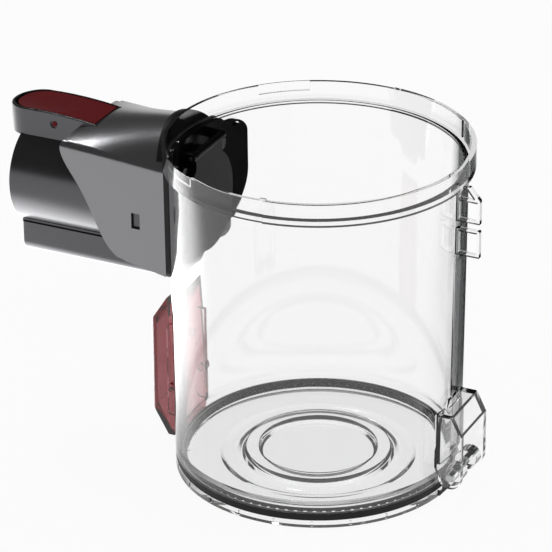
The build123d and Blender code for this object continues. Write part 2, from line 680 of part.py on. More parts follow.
def wand_socket():
    """Plug socket in the mouth of the tunnel."""
    front = -PORT_REACH + SOCKET_SET_BACK
    half = TUNNEL_HALF - TUNNEL_WALL - SOCKET_FIT
    low = TUNNEL_Z + TUNNEL_WALL + SOCKET_FIT
    top = PORT_Z - PORT_R - EDGE - SOCKET_FIT
    socket = block(front, front + SOCKET_LENGTH, -half, half, low, top)
    socket -= block(
        front - 1, front + SOCKET_LENGTH - 2 * SOCKET_WALL, -half + SOCKET_WALL, half - SOCKET_WALL,
        low + SOCKET_WALL, top - SOCKET_WALL,
    )
    middle = (low + top) / 2
    for y in (-PIN_SPACING / 2, PIN_SPACING / 2):
        socket -= rod_x(PIN_R, front, front + SOCKET_LENGTH + 1, y, middle)
    return socket


def socket_pins():
    """Pair of contact pins in the socket."""
    back = -PORT_REACH + SOCKET_SET_BACK + SOCKET_LENGTH
    middle = (TUNNEL_Z + TUNNEL_WALL + PORT_Z - PORT_R - EDGE) / 2
    tip = back - 2 * SOCKET_WALL - PIN_REACH
    pins = [rod_x(PIN_R, tip, back + SOCKET_WALL, side * PIN_SPACING / 2, middle) for side in (-1, 1)]
    return Compound(pins)


def release_button():
    """Dished red rocker with its hub, stub axles and front hook."""
    half = FRAME_HALF - FRAME_WALL - BUTTON_GAP
    centre = BUTTON_FRONT - half
    plan = Pos(-(centre + BUTTON_BACK) / 2, 0) * Rectangle(centre - BUTTON_BACK, 2 * half)
    plan += Pos(-centre, 0) * Circle(half)
    pad = extrude(Pos(0, 0, FRAME_FLOOR) * plan, FRAME_RISE)
    pad &= crown(BUTTON_TOP) - crown(BUTTON_TOP - BUTTON_T)
    dish_r = (half**2 + BUTTON_DISH**2) / (2 * BUTTON_DISH)
    pad -= rod_x(dish_r, -FAR, 0, 0, BUTTON_TOP + dish_r - BUTTON_DISH)
    hub = rod_y(PIVOT_HUB_R, -half, half, -PIVOT_X, PIVOT_Z)
    hub += block(-PIVOT_X - PIVOT_HUB_R, -PIVOT_X + PIVOT_HUB_R, -half, half, PIVOT_Z, BUTTON_TOP - BUTTON_T)
    axle = FRAME_HALF - PIVOT_EYE_DEPTH / 2
    hub += rod_y(PIVOT_R, -axle, axle, -PIVOT_X, PIVOT_Z)
    tip = PORT_Z + PORT_BORE_R + HOOK_CLEAR + BUTTON_GAP
    hook_x = -BUTTON_FRONT + EDGE
    hook = block(hook_x, hook_x + HOOK_T, -HOOK_HALF, HOOK_HALF, tip, BUTTON_TOP - BUTTON_T)
    return pad + hub + hook


def button_spring():
    """Spring under the back of the button."""
    x = BUTTON_BACK + BUTTON_SPRING_IN
    under_r = CROWN_R + SEAT_GAP
    drop = under_r - math.sqrt(under_r**2 - (CROWN_X - x + SPRING_R) ** 2)
    length = BUTTON_TOP - BUTTON_T - drop - FRAME_FLOOR - 2 * SEAT_GAP
    return Pos(-x, 0, FRAME_FLOOR + SEAT_GAP) * coil(length)


def bin_base():
    """Clear base: floor with a raised ring, soft swell, rim, hinge knuckle and catch lip."""
    under = BASE_FLOOR - BASE_T
    ring_top = BASE_FLOOR + RING_RISE
    rim_in = BIN_R - SEAL_W - EDGE
    base = turned([
        (0, under), (RING_IN - RING_FLANK, under), (RING_IN + RING_FLANK, under + RING_RISE),
        (RING_OUT - RING_FLANK, under + RING_RISE), (RING_OUT + RING_FLANK, under),
        (BIN_R - RIM_W - under, under),
        (BIN_R - RIM_W, 0), (BIN_R, 0), (BIN_R, RIM_H), (rim_in, RIM_H), (rim_in, BASE_FLOOR),
        (RING_OUT, BASE_FLOOR), (RING_OUT - RING_FLANK, ring_top), (RING_IN + RING_FLANK, ring_top),
        (RING_IN, BASE_FLOOR), (0, BASE_FLOOR),
    ])
    start = (SWELL_IN, under)
    end = (SWELL_OUT, under)
    low = ((SWELL_IN + SWELL_OUT) / 2, under - SWELL_DROP)
    base += revolve(Plane.XZ * make_face(ThreePointArc(start, low, end) + Line(end, start)), Axis.Z)
    tick = block(BIN_R - TICK_DEPTH, BIN_R + 1, -TICK_W / 2, TICK_W / 2, EDGE, RIM_H - EDGE)
    base -= [Rot(0, 0, (i + 0.5) * 360 / TICKS) * tick for i in range(TICKS)]
    return base + hinge_knuckle() + catch_lip()


def hinge_knuckle():
    """Arm that climbs past the wall's edge to the barrel on the hinge pin."""
    inner = HINGE_X - KNUCKLE_R
    arm = make_face(Polyline(
        (BIN_R - RIM_W, EDGE), (BIN_R, EDGE), (HINGE_X, HINGE_Z - KNUCKLE_R), (HINGE_X, HINGE_Z),
        (inner, HINGE_Z), (inner, RIM_H), (BIN_R - RIM_W, RIM_H), close=True,
    ))
    knuckle = slab(arm, -KNUCKLE_HALF, KNUCKLE_HALF)
    knuckle += rod_y(KNUCKLE_R, -KNUCKLE_HALF, KNUCKLE_HALF, HINGE_X, HINGE_Z)
    lug_foot = HINGE_Z - KNUCKLE_R - EDGE
    knuckle -= block(BIN_R - RIM_W, FAR, -LUG_APART / 2, LUG_APART / 2, lug_foot, FAR)
    return knuckle - rod_y(HINGE_PIN_R + PIN_FIT, -FAR, FAR, HINGE_X, HINGE_Z)


def catch_lip():
    """Lip on the rim that the catch holds from below."""
    low = CATCH_LOW + CATCH_HOOK_H + CATCH_LIP_GAP
    root = -BIN_R + RIM_W / 2
    front = -BIN_R - CATCH_HOOK + CATCH_LIP_GAP
    back = -wall_r(WALL_Z) - EDGE / 2
    lip = make_face(Polyline(
        (CATCH_LIP_X, low), (front, low), (front, RIM_H / 2), (root, EDGE), (root, RIM_H),
        (back, RIM_H), (back, WALL_Z), (CATCH_LIP_X, WALL_Z - EDGE), close=True,
    ))
    return slab(lip, -CATCH_LIP_HALF, CATCH_LIP_HALF)


def hinge_pin():
    return rod_y(HINGE_PIN_R, -EAR_OUT, EAR_OUT, HINGE_X, HINGE_Z)


def base_seal():
    """U-section rubber ring whose inner lip has a row of small windows."""
    outer = BIN_R - SEAT_GAP * 2
    inner = BIN_R - SEAL_W
    lip_top = SEAL_TOP + SEAL_LIP_RISE
    low = RIM_H
    web = low + SEAL_WEB
    wall_in = outer - SEAL_WALL
    lip_out = inner + SEAL_LIP
    seal = turned([
        (inner, low), (outer, low), (outer, SEAL_TOP), (wall_in, SEAL_TOP), (wall_in, web),
        (lip_out, web), (lip_out, lip_top), (inner, lip_top),
    ])
    lintel = lip_top - SEAL_WINDOW_DROP
    half = SEAL_WINDOW_W / 2
    window = block(inner - SEAL_LIP, lip_out + SEAT_GAP, -half, half, lintel - SEAL_WINDOW_H, lintel)
    return seal - [Rot(0, 0, i * 360 / SEAL_WINDOWS) * window for i in range(SEAL_WINDOWS)]


def catch_outline():
    """Side view of the catch."""
    hook_top = CATCH_LOW + CATCH_HOOK_H
    outline = [
        (CATCH_TIP, CATCH_TIP_Z), (CATCH_FACE, CATCH_BROW_Z), (CATCH_FACE, CATCH_CHIN_Z),
        (CATCH_FOOT, CATCH_LOW), (CATCH_HOOK, CATCH_LOW), (CATCH_HOOK, hook_top),
        (CATCH_BACK, hook_top + CATCH_HOOK_H), (CATCH_BACK, CATCH_PIVOT_Z + CATCH_RELIEF),
    ]
    return make_face(Polyline(*[(-BIN_R - x, z) for x, z in outline], close=True))


def catch_hollow():
    """Space behind the catch's face, down to the top of its hook."""
    face = -BIN_R - CATCH_FACE + CATCH_WALL
    hook_top = CATCH_LOW + CATCH_HOOK_H
    roof = CATCH_TIP_Z - 2 * CATCH_WALL
    outline = make_face(Polyline(
        (-BIN_R - CATCH_TIP, roof), (face, CATCH_BROW_Z - CATCH_WALL), (face, CATCH_CHIN_Z + CATCH_WALL),
        (CATCH_LIP_X - 2 * CATCH_LIP_GAP, hook_top), (0, hook_top), (0, roof), close=True,
    ))
    half = CATCH_HALF - CATCH_WALL
    return slab(outline, -half, half)


def base_catch():
    """Translucent rocker, hollow behind, with stub axles and a hook at its foot."""
    catch = slab(catch_outline(), -CATCH_HALF, CATCH_HALF)
    face = catch.faces().sort_by(Axis.X)[0]
    catch = fillet(face.edges(), CATCH_ROUND) - catch_hollow()
    hub = rod_y(CATCH_HUB_R, CATCH_HALF - CATCH_WALL, CATCH_HALF, CATCH_PIVOT_X, CATCH_PIVOT_Z)
    axle_from = RAIL_INSIDE - RAIL_GAP
    hub += rod_y(CATCH_PIVOT_R, axle_from, CATCH_HALF + CATCH_AXLE_TIP, CATCH_PIVOT_X, CATCH_PIVOT_Z)
    return catch + mirrored(hub)


def catch_spring():
    """Spring between the wall and the upper half of the catch."""
    start = wall_r(CATCH_SPRING_Z) + SEAT_GAP
    length = BIN_R + CATCH_FACE - CATCH_WALL - start - SEAT_GAP
    return Pos(-start, 0, CATCH_SPRING_Z) * Rot(0, -90, 0) * coil(length)


def build():
    """Every piece by its name."""
    return {
        "bin_body": bin_body(),
        "bin_base": bin_base(),
        "base_seal": base_seal(),
        "hinge_pin": hinge_pin(),
        "base_catch": base_catch(),
        "catch_spring": catch_spring(),
        "inlet_tube": inlet_tube(),
        "inlet_cowl": inlet_cowl(),
        "inlet_gasket": inlet_gasket(),
        "inlet_flange": inlet_flange(),
        "flange_screws": flange_screws(),
        "inlet_flap": inlet_flap(),
        "flap_pin": flap_pin(),
        "port_seal": port_seal(),
        "wand_socket": wand_socket(),
        "socket_pins": socket_pins(),
        "release_button": release_button(),
        "button_spring": button_spring(),
    }


os.makedirs("parts", exist_ok=True)
for name, shape in build().items():
    export_step(shape, f"parts/{name}.step")
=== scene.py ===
import math

import bpy
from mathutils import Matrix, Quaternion, Vector


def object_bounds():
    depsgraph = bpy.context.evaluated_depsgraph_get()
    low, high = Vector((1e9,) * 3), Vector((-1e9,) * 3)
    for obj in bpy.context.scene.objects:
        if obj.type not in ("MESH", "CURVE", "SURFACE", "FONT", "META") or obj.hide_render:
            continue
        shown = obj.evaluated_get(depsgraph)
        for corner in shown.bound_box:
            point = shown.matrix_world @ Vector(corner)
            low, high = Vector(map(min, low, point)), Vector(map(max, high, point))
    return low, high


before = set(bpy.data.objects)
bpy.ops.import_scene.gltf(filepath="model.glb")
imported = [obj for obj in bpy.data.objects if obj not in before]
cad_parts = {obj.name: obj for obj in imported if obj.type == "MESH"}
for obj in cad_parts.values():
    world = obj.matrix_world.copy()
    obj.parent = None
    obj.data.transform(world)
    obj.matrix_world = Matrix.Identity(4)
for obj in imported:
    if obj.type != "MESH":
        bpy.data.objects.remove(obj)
cad_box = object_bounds()

bl_info = {
    "name": "Cyclone Dust Bin",
    "version": (1, 0, 0),
    "blender": (4, 5, 0),
    "location": "View3D > Sidebar > Dust Bin",
    "description": "Finishes for the clear dust bin of a stick vacuum cleaner, and its studio",
    "category": "Object",
}

MM = 0.001
FLOOR_GAP = 0.2 * MM  # the floor lies this far under the bin, so that no two faces coincide
CARD_GAP = 0.1 * MM  # the cards lie between floor and bin
FLOOR_SIDES = 96
CARD_SIDES = 48
SENSOR_WIDTH = 36.0
CLIP_END = 50.0


def linear(code):
    """Linear colour with alpha from an sRGB hex code."""
    channels = [int(code[i:i + 2], 16) / 255 for i in (1, 3, 5)]
    return [c / 12.92 if c <= 0.04045 else ((c + 0.055) / 1.055) ** 2.4 for c in channels] + [1.0]


def colour(name, description, code):
    """Colour property with a default from a hex code."""
    return bpy.props.FloatVectorProperty(
        name=name, description=description, subtype="COLOR", size=4, min=0, max=1, default=linear(code)
    )


def millimetres(name, description, default):
    """Size of a pattern or a depth, in millimetres."""
    return bpy.props.FloatProperty(name=name, description=description, default=default, min=0.001)


def metres(name, description, default):
    """Length in the studio, in metres."""
    return bpy.props.FloatProperty(
        name=name, description=description, default=default, min=0.01, unit="LENGTH"
    )


def degrees(name, description, default):
    """Angle in the studio, given in degrees."""
    return bpy.props.FloatProperty(
        name=name, description=description, default=math.radians(default), unit="ROTATION"
    )


def strength(name, description, default):
    """Strength of a light or a glow, where 1 is white."""
    return bpy.props.FloatProperty(name=name, description=description, default=default, min=0)


def watts(name, description, default):
    """Power of a lamp."""
    return bpy.props.FloatProperty(name=name, description=description, default=default, min=0, unit="POWER")


def place(name, description, default):
    """Place or size of something in the studio, in metres."""
    return bpy.props.FloatVectorProperty(
        name=name, description=description, size=len(default), default=default, unit="LENGTH"
    )


class BinFinishes(bpy.types.PropertyGroup):
    """Colours and grain sizes of the bin's materials."""

    # A pixel of the studio picture is about 0.4 mm wide, so finer grains than that blur into the sheen there.

    clear: colour("Clear plastic", "Tint of the clear wall and base", "#fefefe")
    # Painted shade: this dark tint colours the clear plastic where its face is seen edge on.
    clear_edge_painted_shade: colour("Clear edge", "Tint of the clear plastic where it is seen along its face", "#2a2b2c")
    clear_depth: colour("Clear depth", "What is left of white light deep in the clear plastic", "#8d9192")
    clear_reach: millimetres("Clear reach", "Depth at which the clear plastic shows that tint, mm", 90.0)
    clear_shadow: colour("Clear shadow", "What the clear plastic leaves of a lamp's light", "#f2f3f3")
    clear_wave: millimetres("Clear wave", "Spacing of the faint waves in the clear plastic, mm", 16.0)

    rubber: colour("Rubber", "Seal and gasket", "#0b0b0a")
    bloom: colour("Rubber bloom", "Patches of bloom on the rubber", "#141413")
    bloom_patch: millimetres("Bloom patch", "Size of those patches, mm", 9.0)
    rubber_grain: millimetres("Rubber grain", "Grain of the moulded rubber, mm", 0.35)
    # Painted light: this pale tone in the seal's channel stands for light seen through the windows of the
    # seal's lip; it is not dust.
    painted_window_light: colour("Talc", "Dust left in the channel of the base seal", "#eeeeea")
    channel_in: millimetres("Seal channel from", "Radius where the talc in the base seal starts, mm", 52.8)
    channel_out: millimetres("Seal channel to", "Radius where the talc in the base seal ends, mm", 53.86)

    tube: colour("Inlet tube", "Metal-filled plastic of the wand port", "#5c5c5e")
    cowl: colour("Cowl", "Metal-filled plastic of the cowl", "#8a8a8c")
    flake: millimetres("Metal flake", "Size of the flakes in the inlet's plastic, mm", 0.22)
    flow_mark: millimetres("Flow mark", "Size of the flow marks in the inlet's plastic, mm", 24.0)

    gloss_black: colour("Gloss black", "Flange, flap and plug socket", "#080808")
    gloss_flow: millimetres("Gloss flow", "Size of the flow marks in the black plastic, mm", 12.0)

    button: colour("Button", "Wand release button", "#64090f")
    button_grit: millimetres("Button grit", "Grit of the button's eroded texture, mm", 0.3)

    catch: colour("Catch", "Translucent base catch, at its faces", "#c69a9e")
    catch_depth: colour("Catch depth", "What is left of white light deep in the catch", "#df4b5e")
    catch_reach: millimetres("Catch reach", "Depth at which the catch shows that tint, mm", 5.0)
    catch_wave: millimetres("Catch wave", "Spacing of the faint waves in the catch, mm", 8.0)

    steel: colour("Steel", "Pins and springs", "#b4b5b7")
    black_steel: colour("Black steel", "Screws of the flange", "#1b1b1c")
    brass: colour("Brass", "Plug pins", "#c8a457")
    scratch: millimetres("Scratch", "Size of the fine marks on the metal, mm", 0.25)


class BinStudio(bpy.types.PropertyGroup):
    """Camera, floor and light."""

    lens: bpy.props.FloatProperty(
        name="Lens", description="Focal length", default=213.8, min=1, unit="CAMERA"
    )
    distance: metres("Distance", "Camera to aim point", 1.2569)
    aim_height: metres("Aim height", "Aim point on the bin's axis", 0.07877)
    azimuth: degrees("Azimuth", "Camera round the bin", 25.0)
    pitch: degrees("Pitch", "Camera above the horizon", 25.82)
    turn: degrees("Turn", "Camera turned left of the bin's axis", 0.738)

    floor: colour("Floor", "Pale paint of the floor", "#e6e6e6")
    floor_radius: metres("Floor radius", "Pale floor round the bin", 6.0)
    floor_white: bpy.props.FloatProperty(
        name="Floor white", description="Share of pure white in the floor, the rest keeps the shadow",
        default=0.93, min=0, max=1, subtype="FACTOR"
    )

    ambient: strength("Ambient", "Even light from all round", 0.5)
    dark: strength("Dark studio", "Unlit room that gloss shows above the backdrop", 0.05)
    backdrop_low: degrees("Backdrop from", "Height above the horizon where the white starts to fade", 2.0)
    backdrop_high: degrees("Backdrop to", "Height above the horizon where the white has faded", 11.0)

    white_place: place("White card", "Middle of the card that whitens the left of the wall", (-0.24, 0.06))
    white_radius: metres("White card radius", "Where the white card has faded", 0.2)
    white_level: strength("White card level", "Glow in its middle", 5.0)
    black_place: place("Black card", "Middle of the card that darkens the wall's right edge", (0.1, 0.2))
    black_radius: metres("Black card radius", "Where the black card has faded", 0.2)
    black_level: strength("Black card level", "Glow in its middle", 0.02)

    key_place: place("Key lamp", "Soft box high up behind the inlet", (-0.65, 0.55, 1.6))
    key_size: place("Key size", "Width and height of the key lamp", (0.4, 0.35))
    key_power: watts("Key power", "Power of the key lamp", 5.0)
    front_place: place("Front lamp", "Soft box high up in front of the bin", (0.5, -1.2, 1.6))
    front_size: place("Front size", "Width and height of the front lamp", (0.8, 0.5))
    front_power: watts("Front power", "Power of the front lamp", 5.0)


def add_node(tree, kind, inputs=None, **settings):
    """Adds a node with its settings, and fills or links its inputs."""
    node = tree.nodes.new(kind)
    for name, value in settings.items():
        setattr(node, name, value)
    for key, value in (inputs or {}).items():
        if isinstance(value, bpy.types.NodeSocket):
            tree.links.new(value, node.inputs[key])
        else:
            node.inputs[key].default_value = value
    return node


def blank_material(name):
    """Empty node material with its output, and the place of a point in metres."""
    material = bpy.data.materials.new(name)
    material.use_nodes = True
    tree = material.node_tree
    tree.nodes.clear()
    output = add_node(tree, "ShaderNodeOutputMaterial")
    point = add_node(tree, "ShaderNodeTexCoord").outputs["Object"]
    return material, tree, output, point


def per_metre(size_mm):
    """Scale of a pattern with marks about size_mm wide, or density of a tint that is size_mm deep."""
    return 1 / (size_mm * MM)


def background_ray(tree):
    """1 for rays that show the backdrop: straight from the camera, mirrored or through clear plastic."""
    path = add_node(tree, "ShaderNodeLightPath").outputs
    either = {0: path["Is Camera Ray"], 1: path["Is Glossy Ray"]}
    mirrored = add_node(tree, "ShaderNodeMath", either, operation="MAXIMUM").outputs[0]
    either = {0: mirrored, 1: path["Is Transmission Ray"]}
    return add_node(tree, "ShaderNodeMath", either, operation="MAXIMUM").outputs[0]


def clear_polycarbonate(finishes):
    """Polycarbonate, moulded and polished: water-clear with faint waves, with painted shade where it is seen
    edge on.
    """
    material, tree, output, point = blank_material("clear_moulded_polycarbonate")
    wave = add_node(tree, "ShaderNodeTexNoise", {
        "Vector": point, "Scale": per_metre(finishes.clear_wave), "Detail": 1.0,
    }).outputs[0]
    bump = add_node(tree, "ShaderNodeBump", {"Height": wave, "Strength": 0.06, "Distance": 0.2 * MM})
    haze = add_node(tree, "ShaderNodeMapRange", {"Value": wave, "To Min": 0.0, "To Max": 0.05})
    # Painted shade: the tint turns dark where the face is seen edge on, standing for the dark surroundings
    # seen in the plastic there.
    along = add_node(tree, "ShaderNodeLayerWeight", {"Blend": 0.5}).outputs["Facing"]
    edge = add_node(tree, "ShaderNodeMapRange", {"Value": along, "From Min": 0.62, "From Max": 0.76})
    shades = {0: edge.outputs[0], 6: finishes.clear, 7: finishes.clear_edge_painted_shade}
    tint = add_node(tree, "ShaderNodeMix", shades, data_type="RGBA").outputs[2]
    glass = add_node(tree, "ShaderNodeBsdfPrincipled", {
        "Base Color": tint, "Roughness": haze.outputs[0], "IOR": 1.5,
        "Transmission Weight": 1.0, "Normal": bump.outputs[0],
    })
    lamp = add_node(tree, "ShaderNodeLightPath").outputs["Is Shadow Ray"]
    through = add_node(tree, "ShaderNodeBsdfTransparent", {"Color": finishes.clear_shadow})
    shown = add_node(tree, "ShaderNodeMixShader", {0: lamp, 1: glass.outputs[0], 2: through.outputs[0]})
    depth = add_node(tree, "ShaderNodeVolumeAbsorption", {
        "Color": finishes.clear_depth, "Density": per_metre(finishes.clear_reach),
    })
    tree.links.new(shown.outputs[0], output.inputs["Surface"])
    tree.links.new(depth.outputs[0], output.inputs["Volume"])
    return material


def paint_light_in_channel(tree, finishes, point, tone):
    """Pale painted light in the channel of the base seal, over the rubber's own tone: it stands for light
    seen through the windows of the seal's lip.
    """
    across = add_node(tree, "ShaderNodeVectorMath", {0: point, 1: (1, 1, 0)}, operation="MULTIPLY")
    radius = add_node(tree, "ShaderNodeVectorMath", {0: across.outputs[0]}, operation="LENGTH")
    middle = (finishes.channel_in + finishes.channel_out) / 2 * MM
    half = (finishes.channel_out - finishes.channel_in) / 2 * MM
    inside = add_node(tree, "ShaderNodeMath", {
        0: radius.outputs["Value"], 1: middle, 2: half,
    }, operation="COMPARE")
    # Painted light: the channel is pale, standing for light seen through the windows of the seal's lip.
    channel_lit = {0: inside.outputs[0], 6: tone, 7: finishes.painted_window_light}
    return add_node(tree, "ShaderNodeMix", channel_lit, data_type="RGBA").outputs[2]


def moulded_rubber(finishes, name, channel_lit):
    """Nitrile rubber, press moulded: near black and dull, with a fine grain, a bloom and, if asked, pale
    painted light in the seal's channel.
    """
    material, tree, output, point = blank_material(name)
    grain = add_node(tree, "ShaderNodeTexNoise", {
        "Vector": point, "Scale": per_metre(finishes.rubber_grain), "Detail": 3.0,
    }).outputs[0]
    bloom = add_node(tree, "ShaderNodeTexNoise", {
        "Vector": point, "Scale": per_metre(finishes.bloom_patch), "Detail": 2.0,
    })
    patchy = {0: bloom.outputs[0], 6: finishes.rubber, 7: finishes.bloom}
    tone = add_node(tree, "ShaderNodeMix", patchy, data_type="RGBA").outputs[2]
    if channel_lit:
        tone = paint_light_in_channel(tree, finishes, point, tone)
    rough = add_node(tree, "ShaderNodeMapRange", {"Value": grain, "To Min": 0.38, "To Max": 0.6})
    bump = add_node(tree, "ShaderNodeBump", {"Height": grain, "Strength": 0.25, "Distance": 0.05 * MM})
    rubber = add_node(tree, "ShaderNodeBsdfPrincipled", {
        "Base Color": tone, "Roughness": rough.outputs[0], "IOR": 1.52, "Specular IOR Level": 0.25,
        "Normal": bump.outputs[0],
    })
    tree.links.new(rubber.outputs[0], output.inputs["Surface"])
    return material


def metal_filled_plastic(finishes, name, tone):
    """ABS with metal flake, moulded satin: soft wide highlights with a fine sparkle."""
    material, tree, output, point = blank_material(name)
    flake = add_node(tree, "ShaderNodeTexNoise", {
        "Vector": point, "Scale": per_metre(finishes.flake), "Detail": 2.0,
    }).outputs[0]
    flow = add_node(tree, "ShaderNodeTexNoise", {
        "Vector": point, "Scale": per_metre(finishes.flow_mark), "Detail": 2.0,
    })
    shade = add_node(tree, "ShaderNodeMapRange", {"Value": flake, "To Min": 0.9, "To Max": 1.1})
    tinted = add_node(tree, "ShaderNodeVectorMath", {0: tone[:3], 1: shade.outputs[0]}, operation="MULTIPLY")
    rough = add_node(tree, "ShaderNodeMapRange", {"Value": flow.outputs[0], "To Min": 0.22, "To Max": 0.28})
    bump = add_node(tree, "ShaderNodeBump", {"Height": flake, "Strength": 0.04, "Distance": 0.03 * MM})
    plastic = add_node(tree, "ShaderNodeBsdfPrincipled", {
        "Base Color": tinted.outputs[0], "Metallic": 0.9, "Roughness": rough.outputs[0],
        "Normal": bump.outputs[0],
    })
    tree.links.new(plastic.outputs[0], output.inputs["Surface"])
    return material


def gloss_black_plastic(finishes):
    """ABS, moulded in a polished tool: black with sharp but weak reflections and faint flow marks."""
    material, tree, output, point = blank_material("polished_black_abs")
    flow = add_node(tree, "ShaderNodeTexNoise", {
        "Vector": point, "Scale": per_metre(finishes.gloss_flow), "Detail": 3.0,
    }).outputs[0]
    rough = add_node(tree, "ShaderNodeMapRange", {"Value": flow, "To Min": 0.06, "To Max": 0.18})
    bump = add_node(tree, "ShaderNodeBump", {"Height": flow, "Strength": 0.1, "Distance": 0.2 * MM})
    plastic = add_node(tree, "ShaderNodeBsdfPrincipled", {
        "Base Color": finishes.gloss_black, "Roughness": rough.outputs[0], "IOR": 1.53,
        "Specular IOR Level": 0.04, "Normal": bump.outputs[0],
    })
    tree.links.new(plastic.outputs[0], output.inputs["Surface"])
    return material


def red_plastic(finishes):
    """ABS, moulded with a fine spark-eroded texture: deep red and silky."""
    material, tree, output, point = blank_material("textured_red_abs")
    grit = add_node(tree, "ShaderNodeTexNoise", {
        "Vector": point, "Scale": per_metre(finishes.button_grit), "Detail": 2.0,
    }).outputs[0]
    rough = add_node(tree, "ShaderNodeMapRange", {"Value": grit, "To Min": 0.4, "To Max": 0.55})
    bump = add_node(tree, "ShaderNodeBump", {"Height": grit, "Strength": 0.15, "Distance": 0.03 * MM})
    plastic = add_node(tree, "ShaderNodeBsdfPrincipled", {
        "Base Color": finishes.button, "Roughness": rough.outputs[0], "IOR": 1.53,
        "Specular IOR Level": 0.15, "Normal": bump.outputs[0],
    })
    tree.links.new(plastic.outputs[0], output.inputs["Surface"])
    return material


def tinted_polycarbonate(finishes):
    """Polycarbonate dyed red and moulded clear: glows where light passes, dark where it is deep."""
    material, tree, output, point = blank_material("red_tinted_polycarbonate")
    wave = add_node(tree, "ShaderNodeTexNoise", {
        "Vector": point, "Scale": per_metre(finishes.catch_wave), "Detail": 1.0,
    }).outputs[0]
    haze = add_node(tree, "ShaderNodeMapRange", {"Value": wave, "To Min": 0.0, "To Max": 0.08})
    bump = add_node(tree, "ShaderNodeBump", {"Height": wave, "Strength": 0.15, "Distance": 0.2 * MM})
    glass = add_node(tree, "ShaderNodeBsdfPrincipled", {
        "Base Color": finishes.catch, "Roughness": haze.outputs[0], "IOR": 1.58,
        "Transmission Weight": 1.0, "Normal": bump.outputs[0],
    })
    depth = add_node(tree, "ShaderNodeVolumeAbsorption", {
        "Color": finishes.catch_depth, "Density": per_metre(finishes.catch_reach),
    })
    tree.links.new(glass.outputs[0], output.inputs["Surface"])
    tree.links.new(depth.outputs[0], output.inputs["Volume"])
    return material


def drawn_metal(finishes, name, tone):
    """Drawn metal, plated, blackened or left bright: sharp highlights, dulled by fine marks."""
    material, tree, output, point = blank_material(name)
    scratch = add_node(tree, "ShaderNodeTexNoise", {
        "Vector": point, "Scale": per_metre(finishes.scratch), "Detail": 4.0,
    })
    rough = add_node(tree, "ShaderNodeMapRange", {
        "Value": scratch.outputs[0], "To Min": 0.18, "To Max": 0.36,
    })
    metal = add_node(tree, "ShaderNodeBsdfPrincipled", {
        "Base Color": tone, "Metallic": 1.0, "Roughness": rough.outputs[0],
    })
    tree.links.new(metal.outputs[0], output.inputs["Surface"])
    return material


def dress(material, *names):
    """Gives CAD nodes a finish."""
    for name in names:
        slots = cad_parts[name].data.materials
        slots.clear()
        slots.append(material)


class DUSTBIN_OT_clear_mouldings(bpy.types.Operator):
    """Finish the clear wall and base"""

    bl_idname = "dustbin.clear_mouldings"
    bl_label = "Clear Mouldings"

    def execute(self, context):
        dress(clear_polycarbonate(context.scene.bin_finishes), "bin_body", "bin_base")
        return {"FINISHED"}


class DUSTBIN_OT_rubber_seals(bpy.types.Operator):
    """Finish the base seal, inlet gasket and port seal"""

    bl_idname = "dustbin.rubber_seals"
    bl_label = "Rubber Seals"

    def execute(self, context):
        finishes = context.scene.bin_finishes
        dress(moulded_rubber(finishes, "moulded_nitrile_rubber", False), "inlet_gasket", "port_seal")
        # The base seal's rubber has pale painted light in its channel.
        dress(moulded_rubber(finishes, "nitrile_rubber_painted_light", True), "base_seal")
        return {"FINISHED"}


class DUSTBIN_OT_inlet(bpy.types.Operator):
    """Finish the wand port, the cowl and the black parts behind them"""

    bl_idname = "dustbin.inlet"
    bl_label = "Inlet"

    def execute(self, context):
        finishes = context.scene.bin_finishes
        dress(metal_filled_plastic(finishes, "satin_metal_filled_abs_tube", finishes.tube), "inlet_tube")
        dress(metal_filled_plastic(finishes, "satin_metal_filled_abs_cowl", finishes.cowl), "inlet_cowl")
        dress(gloss_black_plastic(finishes), "inlet_flange", "inlet_flap", "wand_socket")
        return {"FINISHED"}


class DUSTBIN_OT_controls(bpy.types.Operator):
    """Finish the release button and the base catch"""

    bl_idname = "dustbin.controls"
    bl_label = "Button and Catch"

    def execute(self, context):
        finishes = context.scene.bin_finishes
        dress(red_plastic(finishes), "release_button")
        dress(tinted_polycarbonate(finishes), "base_catch")
        return {"FINISHED"}


class DUSTBIN_OT_metalwork(bpy.types.Operator):
    """Finish the pins, springs, screws and plug contacts"""

    bl_idname = "dustbin.metalwork"
    bl_label = "Metalwork"

    def execute(self, context):
        finishes = context.scene.bin_finishes
        steel = drawn_metal(finishes, "zinc_plated_steel", finishes.steel)
        dress(steel, "hinge_pin", "flap_pin", "catch_spring", "button_spring")
        dress(drawn_metal(finishes, "blackened_steel", finishes.black_steel), "flange_screws")
        dress(drawn_metal(finishes, "bright_brass", finishes.brass), "socket_pins")
        return {"FINISHED"}


def white_paint(studio):
    """Matt paint on the floor: white wherever it is seen, with the bin's shadow left in."""
    material, tree, output, _ = blank_material("pale_matt_paint")
    paint = add_node(tree, "ShaderNodeBsdfDiffuse", {"Color": studio.floor})
    white = add_node(tree, "ShaderNodeEmission", {"Color": linear("#ffffff"), "Strength": 1.0})
    seen = add_node(tree, "ShaderNodeMixShader", {
        0: studio.floor_white, 1: paint.outputs[0], 2: white.outputs[0],
    })
    shown = add_node(tree, "ShaderNodeMixShader", {
        0: background_ray(tree), 1: paint.outputs[0], 2: seen.outputs[0],
    })
    tree.links.new(shown.outputs[0], output.inputs["Surface"])
    return material


def fading_card(name, radius, level):
    """Lit card: its level in the middle, the floor's white at its rim."""
    material, tree, output, point = blank_material(name)
    out = add_node(tree, "ShaderNodeVectorMath", {0: point}, operation="LENGTH").outputs["Value"]
    fade = add_node(tree, "ShaderNodeMapRange", {
        "Value": out, "From Min": radius / 2, "From Max": radius, "To Min": level, "To Max": 1.0,
    }, interpolation_type="SMOOTHSTEP")
    glow = add_node(tree, "ShaderNodeEmission", {"Color": linear("#ffffff"), "Strength": fade.outputs[0]})
    tree.links.new(glow.outputs[0], output.inputs["Surface"])
    return material


